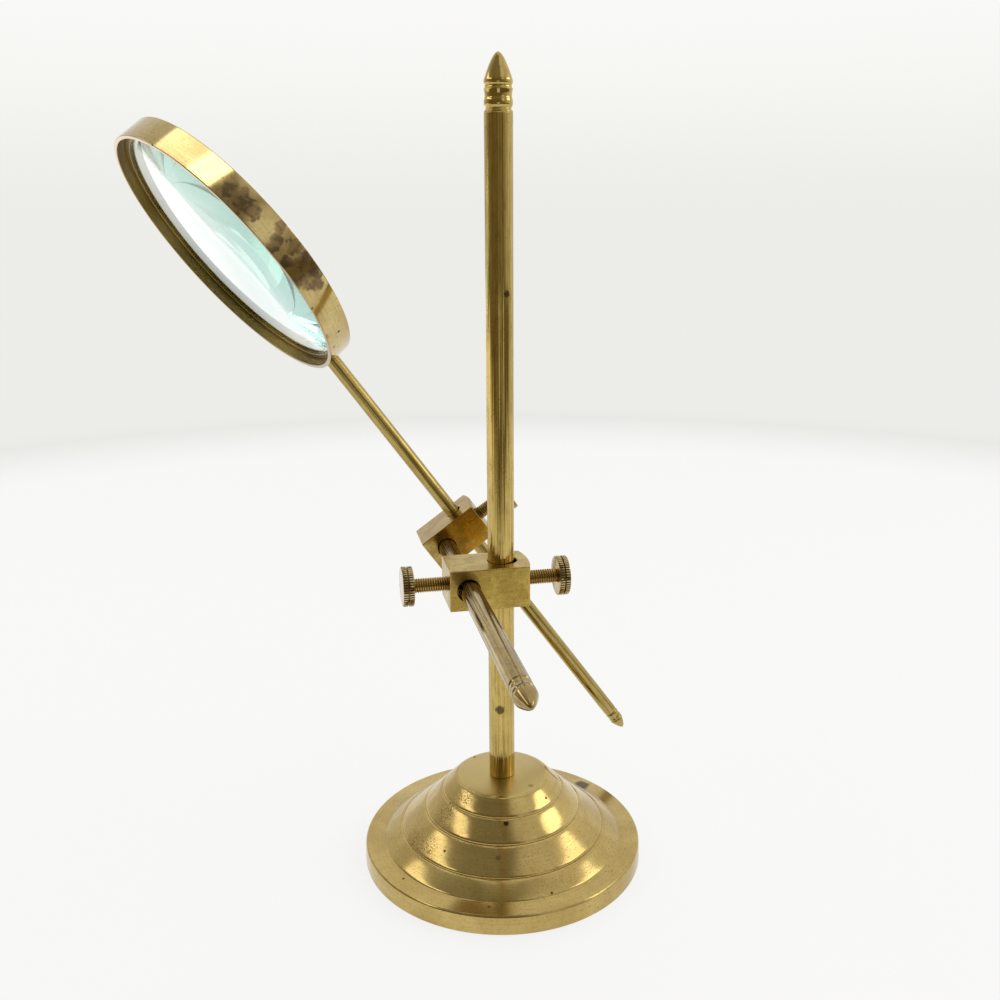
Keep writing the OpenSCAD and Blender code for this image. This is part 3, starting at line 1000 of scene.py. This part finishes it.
headBrass = {
    **clampBrass, "seed": 29, "bright": (0.50, 0.35, 0.11), "aged": (0.34, 0.22, 0.06),
    "rough": 0.14, "stains": ((474, 530, 6.5), (480, 541, 6)),
    "stain": (0.52, 0.27, 0.02), "stainPale": (0.60, 0.34, 0.04), "stained": 0.85,
}
dress(headClamp, brass("headBrass", headBrass, headClamp), "head_clamp", "head_clamp")

crossBrass = {
    **drawn, "seed": 31, "finial": finialStart("cross_rod", crossPlace, rodLook),
    "bright": (0.48, 0.365, 0.15), "aged": (0.30, 0.21, 0.085), "ageing": 1,
}
dress(crossRod, brass("crossRodBrass", crossBrass), "cross_rod", "cross_rod")

rodBrass = {
    **drawn, "seed": 47, "finial": finialStart("lens_rod", lowerTip, rodLook),
    "bright": (0.50, 0.39, 0.13), "aged": (0.36, 0.26, 0.08),
}
dress(lensRod, brass("lensRodBrass", rodBrass), "lens_rod", "lens_rod")

threadBrass = {
    **brassLook, "seed": 53, "ageing": 1,
    # painted shade and dirt at the roots of the thread
    "hollowShadeAndDirt": (0.25, 0.16, 0.05), "shadedHollows": (1.90, 2.14),
}
knobBrass = {
    **turned, "seed": 61, "bright": (0.62, 0.52, 0.30), "pits": 0.3,
    # painted shade and dirt in the slots between the ribs and in the groove between the bands
    "cap": 3.28, "shadedHollows": (5.45, 5.8, 0.15, 3.15),
}
threadFinish = brass("threadBrass", threadBrass)
knobFinish = brass("knobBrass", knobBrass)
for screw in studs:
    dress(studs[screw], threadFinish, screw + "_stud", screw + "_stud")
    dress(knobs[screw], knobFinish, screw + "_knob", screw + "_knob")

rimBrass = {
    **turned, "seed": 3, "patch": 12, "mottling": 0.3, "pits": 0.4,
    "bright": (0.62, 0.49, 0.21), "aged": (0.43, 0.31, 0.12),
    "grainDepth": 0.0006, "grainRough": 0.02, "cap": 4.15, "capTone": (0.44, 0.36, 0.25),
    # painted shade and dirt inside the rim's bore
    "hollowShadeAndDirt": (0.28, 0.175, 0.05), "shadedHollows": (41.6, 41.8),
    "marks": ((338.7, 331.4, 0.6, 0.9), (333.9, 347, 0.6, 0.9), (152.2, 145.5, 0.4, 1),
              (312, 308.5, 0.5, 0.6)),
    "stains": ((230, 189, 4.6), (241, 199, 5.0), (251, 211, 3.4), (281, 228, 2.4), (276, 240, 2.6),
               (270, 250, 3.0), (296, 248, 4.0), (303, 260, 4.6), (311, 272, 4.6), (315, 284, 3.6),
               (300, 279, 4.2), (287, 262, 3.0)),
}
dress(rim, brass("rimBrass", rimBrass, rim), "lens_head", "lens_rim")

ringBrass = {
    **turned, "bright": (0.28, 0.21, 0.06), "aged": (0.21, 0.15, 0.045),
    "rough": 0.25, "mottling": 0.2, "pits": 0.2,
}
dress(ring, brass("ringBrass", ringBrass), "lens_head", "retaining_ring")
dress(glass, glassFinish(lensLook), "lens_head", "lens")


# Nut and washer under the base, shown as they are in the frame
nutLook = {
    "zinc": (0.55, 0.54, 0.51),
    "dull": (0.40, 0.38, 0.35),
    "patch": 1.2,
    "patchEdge": (0.4, 0.7),
    "rough": 0.28,
    "dullRough": 0.2,        # what the dull patches add
}


def steelFinish(look):
    f = newFinish("nutSteel")
    dull = f.smooth(f.noise(f.place(), look["patch"], detail=4), *look["patchEdge"])
    colour = f.mix(dull, look["zinc"], look["dull"])
    rough = look["rough"] + dull * look["dullRough"]
    return f.surface({"Base Color": colour, "Metallic": 1, "Roughness": rough})


coat(frame["nodes"]["post_nut"].data, steelFinish(nutLook))
coat(frame["nodes"]["post_washer"].data, clampFinish)
print("finishes made")


# Floor, light and background
roomLook = {
    "floor": 4,              # metres across
    "near": (1, 1, 0.995),
    "far": (0.84, 0.845, 0.81),    # where the floor meets the wall
    "high": (0.95, 0.945, 0.925),
    "fade": (560, 790),      # from the near floor to the far
    "wallRise": (-0.02, 0.17),     # from the floor's edge up to the high wall
    "shown": 0.8,            # share of the floor that isn't lit by the lamps
    # the unlit end of the table, and how its edges fade: in front, to the right, and on a slant
    "unlit": (0.19, 0.15, 0.08),
    "unlitFront": (220, 330),
    "unlitRight": (120, 300),
    "unlitSlant": (380, 520),
    "slant": 0.6,
    # a lit strip of the floor: its direction, and how it fades to its sides and to the near
    "strip": (0.11, -0.994, 0),
    "stripSides": (0.975, 0.992),
    "stripNear": (480, 640),
    "sunlit": (1.5, 1.45, 1.38),   # the floor to the left, as metal shows it
    "sunlitLeft": (330, 480),
    # the room as metal shows it: lit all round, but dark behind the camera
    "lit": (0.92, 0.92, 0.92),
    "unlitHigh": (0.28, 0.26, 0.22),
    "unlitRise": (0.3, 0.8),
    "darkest": (-0.292, -0.956, 0),
    "darkSides": (-0.95, 0.95),
    "darkTop": (0.95, 1),
    # paler parts of the room: direction, how it fades to the sides, how strong
    "glows": (((0.490, -0.372, 0.788), (0.93, 0.986), 0.75),
              ((0.662, -0.667, 0.342), (0.96, 0.992), 0.85)),
    # soft lamps: place, what it faces, width, depth and brightness
    "lamps": (((652, 66, 474), (0, 0, 15), 401, 225, 2.0),
              ((-600, -110, 530), (0, 0, 15), 620, 150, 1.7)),
    # lamps right over the lens, which light its head only
    "headLamps": (((-185, -30, 467), (-110, 36, 205), 190, 95, 1.9),
                  ((-81, -148, 467), (-6, -82, 205), 122, 95, 4.4)),
}


def makeFloor(look):
    reach = look["floor"] / 2 / mm
    points = [(x * reach, y * reach, 0) for x, y in ((-1, -1), (1, -1), (1, 1), (-1, 1))]
    floor = pieceFrom("floor", points, [(0, 1, 2, 3)], standPlace)
    f = newFinish("paleFloor")
    at = f.place()
    x, y = f.parts(at)[:2]
    away = f.measure("LENGTH", at)
    far = f.smooth(away, *look["fade"])
    toCamera, glossy, through = f.rays("Camera", "Glossy", "Transmission")
    # metal that faces the camera mirrors the unlit end of the table
    unlit = f.smooth(y * -1, *look["unlitFront"]) * (1 - f.smooth(x, *look["unlitRight"]))
    unlit = f.most(unlit, f.smooth(x * look["slant"] - y, *look["unlitSlant"]))
    # but for the lit strip, which the post shows down its middle
    ahead = f.measure("DOT_PRODUCT", f.vector("NORMALIZE", at), look["strip"])
    strip = f.smooth(ahead, *look["stripSides"]) * f.smooth(away, *look["stripNear"])
    unlit = unlit * (1 - strip)
    sunlit = f.smooth(x * -1, *look["sunlitLeft"]) * (1 - unlit) * glossy
    colour = f.mix(far, look["near"], look["far"])
    colour = f.mix(unlit * glossy, colour, look["unlit"])
    matte = f.node("ShaderNodeBsdfDiffuse", {}, {"Color": colour})
    bright = f.mix(sunlit, colour, look["sunlit"])
    glow = f.node("ShaderNodeEmission", {}, {"Color": bright, "Strength": 1})
    shown = f.most(toCamera, f.most(glossy, through)) * f.most(far, look["shown"])
    both = f.node("ShaderNodeMixShader", {}, [shown, matte, glow])
    f.node("ShaderNodeOutputMaterial", {}, {"Surface": both})
    coat(floor.data, f.owner)


def makeLamps(lamps, lit=None):
    # soft lamps, for everything or for one collection
    for place, faces, width, depth, bright in lamps:
        data = bpy.data.lights.new("lamp", "AREA")
        data.shape = "RECTANGLE"
        data.size, data.size_y = width * mm, depth * mm
        data.energy = bright * math.pi * data.size * data.size_y
        away = Vector(place) - Vector(faces)
        lamp = added("lamp", data, axes(Vector(place) * mm, away, up.cross(away)))
        lamp.light_linking.receiver_collection = lit


def makeWorld(look):
    world = bpy.data.worlds.new("room")
    bpy.context.scene.world = world
    f = Finish(world)
    way = f.node("ShaderNodeTexCoord", {}, {}, "Generated")
    x, y, z = f.parts(way)
    level = f.vector("NORMALIZE", f.joined(x, y, 0))
    behind = f.smooth(f.measure("DOT_PRODUCT", level, look["darkest"]), *look["darkSides"])
    dark = behind * (1 - f.smooth(z, *look["darkTop"]))
    unlit = f.mix(f.smooth(z, *look["unlitRise"]), look["unlit"], look["unlitHigh"])
    room = f.mix(dark, look["lit"], unlit)
    for direction, sides, strength in look["glows"]:
        glow = f.smooth(f.measure("DOT_PRODUCT", way, direction), *sides)
        room = f.mix(glow * strength, room, look["lit"])
    wall = f.mix(f.smooth(z, *look["wallRise"]), look["far"], look["high"])
    toCamera, through = f.rays("Camera", "Transmission")
    colour = f.mix(toCamera, room, wall)
    colour = f.mix(through, colour, (1, 1, 1))
    light = f.node("ShaderNodeBackground", {}, {"Color": colour, "Strength": 1})
    f.node("ShaderNodeOutputWorld", {}, {"Surface": light})


makeFloor(roomLook)
makeLamps(roomLook["lamps"])
headPieces = bpy.data.collections.new("lensHead")
for piece in (rim, ring, glass):
    headPieces.objects.link(piece)
makeLamps(roomLook["headLamps"], headPieces)
makeWorld(roomLook)
bpy.context.scene.view_settings.view_transform = "Standard"
# light runs to and fro in the lens up to eight times before it leaves
bpy.context.scene.cycles.max_bounces = 20
bpy.context.scene.cycles.glossy_bounces = 16
bpy.context.scene.cycles.transmission_bounces = 16
print("room made")
